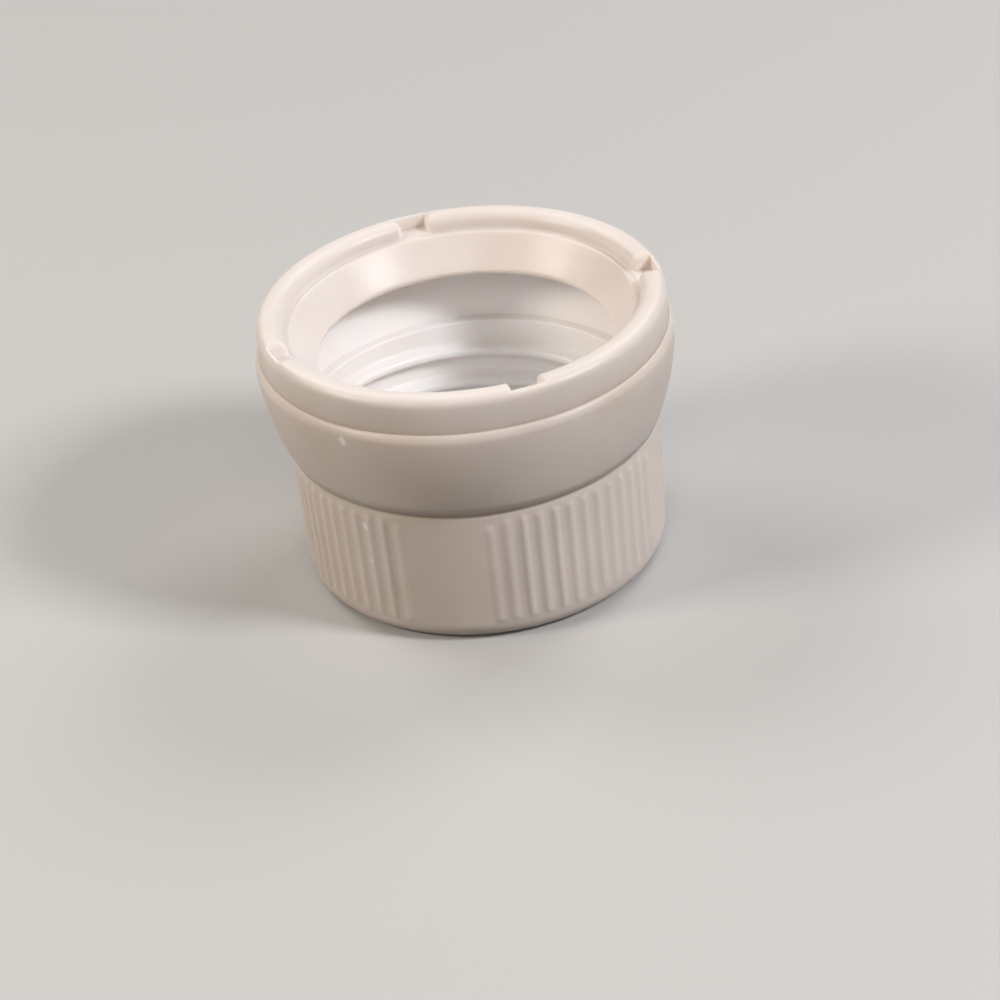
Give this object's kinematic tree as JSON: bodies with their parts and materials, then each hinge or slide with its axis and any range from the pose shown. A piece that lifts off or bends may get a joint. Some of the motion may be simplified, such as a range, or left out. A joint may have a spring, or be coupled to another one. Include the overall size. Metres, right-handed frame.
{
  "type": "pilfer proof bottle cap",
  "caption": "Ribbed plastic screw cap with an inner thread, a flared tear-off band and a tamper ring with a folded-in retaining flap.",
  "frame": {"origin": "centre of the closed end's outer face, on which the cap stands", "axes": "+Z along the cap's axis, from the closed end to the mouth; -Y towards the pictured side"},
  "size_m": [0.0338, 0.0338, 0.0234],
  "materials": {
    "ivory_plastic": "glossy moulded polyolefin"
  },
  "bodies": {
    "root": {"cap_body": "ivory_plastic"}
  },
  "joints": []
}
